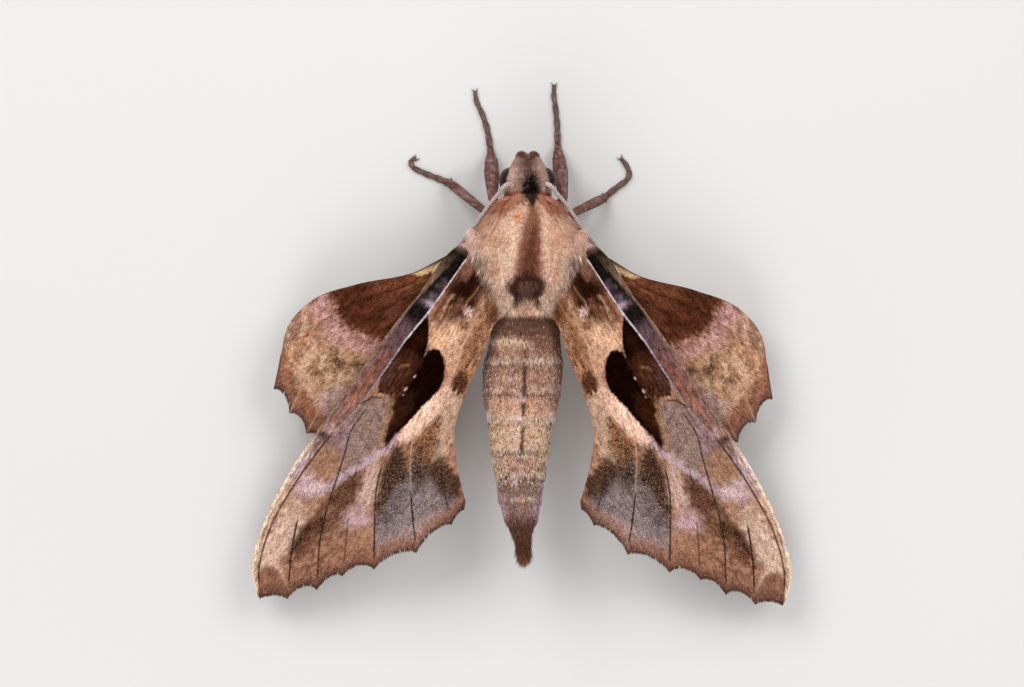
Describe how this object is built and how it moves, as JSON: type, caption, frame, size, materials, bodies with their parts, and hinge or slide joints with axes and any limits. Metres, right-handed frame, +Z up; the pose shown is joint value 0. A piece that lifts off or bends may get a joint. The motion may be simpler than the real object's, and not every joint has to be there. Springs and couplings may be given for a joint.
{
  "type": "phyllosphingia dissimilis hawkmoth, still model",
  "caption": "Life-size buff leaf hawkmoth at rest: scalloped forewings swept back, hindwings showing in front of them, stout body, on six flat-soled feet.",
  "frame": {"origin": "bottom centre of the bounding box, on the floor that the feet stand on", "axes": "+Z up from the floor; the head points along -Y and the moth's own left side is +X"},
  "size_m": [0.0654, 0.0635, 0.0151],
  "materials": {
    "head_coat": "dense short reddish-brown hair scales, darker along the middle",
    "thorax_coat": "dense brown hair scales with a dark median stripe",
    "abdomen_coat": "flat brown scales sprinkled with gold, pale fringe on each segment",
    "eye_gloss": "glossy dark brown compound eye",
    "palp_coat": "short reddish-brown scales",
    "antenna_scale": "whitish scales with fine darker rings",
    "leg_scale": "purplish brown scales, paler towards the joints",
    "forewing_scale": "powdery scales in brown, tan, lilac grey and black-brown patches",
    "hindwing_scale": "powdery scales, dark red-brown base, pink-lilac band, mottled tan and brown margin"
  },
  "bodies": {
    "root": {"head": "head_coat", "eye_left": "eye_gloss", "eye_right": "eye_gloss", "palp_left": "palp_coat", "palp_right": "palp_coat", "antenna_left": "antenna_scale", "antenna_right": "antenna_scale", "thorax": "thorax_coat", "abdomen": "abdomen_coat", "forewing_left": "forewing_scale", "forewing_right": "forewing_scale", "hindwing_left": "hindwing_scale", "hindwing_right": "hindwing_scale", "foreleg_left": "leg_scale", "foreleg_right": "leg_scale", "midleg_left": "leg_scale", "midleg_right": "leg_scale", "hindleg_left": "leg_scale", "hindleg_right": "leg_scale"}
  },
  "joints": []
}
